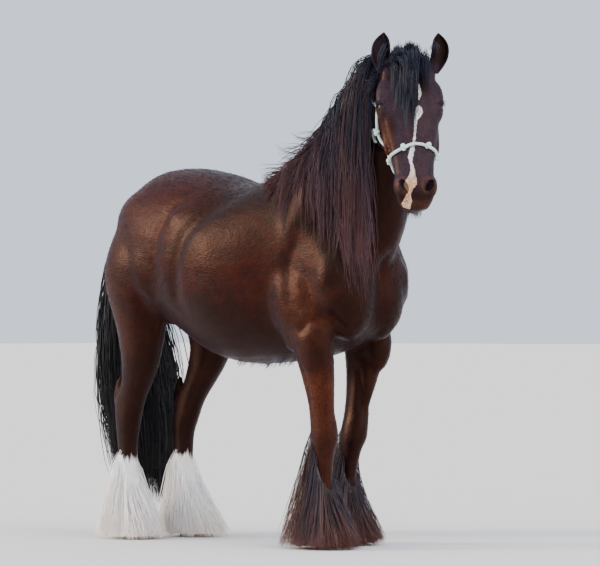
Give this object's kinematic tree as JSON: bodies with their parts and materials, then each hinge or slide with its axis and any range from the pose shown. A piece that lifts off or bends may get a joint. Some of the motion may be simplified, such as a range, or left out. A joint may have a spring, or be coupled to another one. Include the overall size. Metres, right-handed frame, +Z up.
{
  "type": "gypsy vanner horse",
  "caption": "Life-size still model of a feathered bay cob standing square with its head turned, in a rope halter.",
  "frame": {"origin": "bottom centre of the bounding box, on the floor", "axes": "-Y the way the body faces, +X the animal's left side, +Z up"},
  "size_m": [0.6178, 1.9212, 1.934],
  "materials": {
    "bay_coat": "glossy short bay coat",
    "mane_and_neck": "dark bay coat under long black mane hair",
    "tail_hair": "long black hair",
    "dark_feather": "long dark brown feather hair",
    "white_feather": "long white feather hair",
    "hoof": "dull dark horn",
    "eye": "wet dark brown",
    "halter_rope": "pale aqua braided rope"
  },
  "bodies": {
    "root": {"torso": "bay_coat", "neck": "mane_and_neck", "head": "bay_coat", "tail": "tail_hair", "ear_left": "bay_coat", "ear_right": "bay_coat", "eye_left": "eye", "eye_right": "eye", "halter_noseband": "halter_rope", "halter_headpiece": "halter_rope", "foreleg_left_upper": "bay_coat", "foreleg_left_lower": "dark_feather", "hoof_fore_left": "hoof", "foreleg_right_upper": "bay_coat", "foreleg_right_lower": "dark_feather", "hoof_fore_right": "hoof", "hindleg_left_upper": "bay_coat", "hindleg_left_lower": "white_feather", "hoof_hind_left": "hoof", "hindleg_right_upper": "bay_coat", "hindleg_right_lower": "white_feather", "hoof_hind_right": "hoof"}
  },
  "joints": []
}
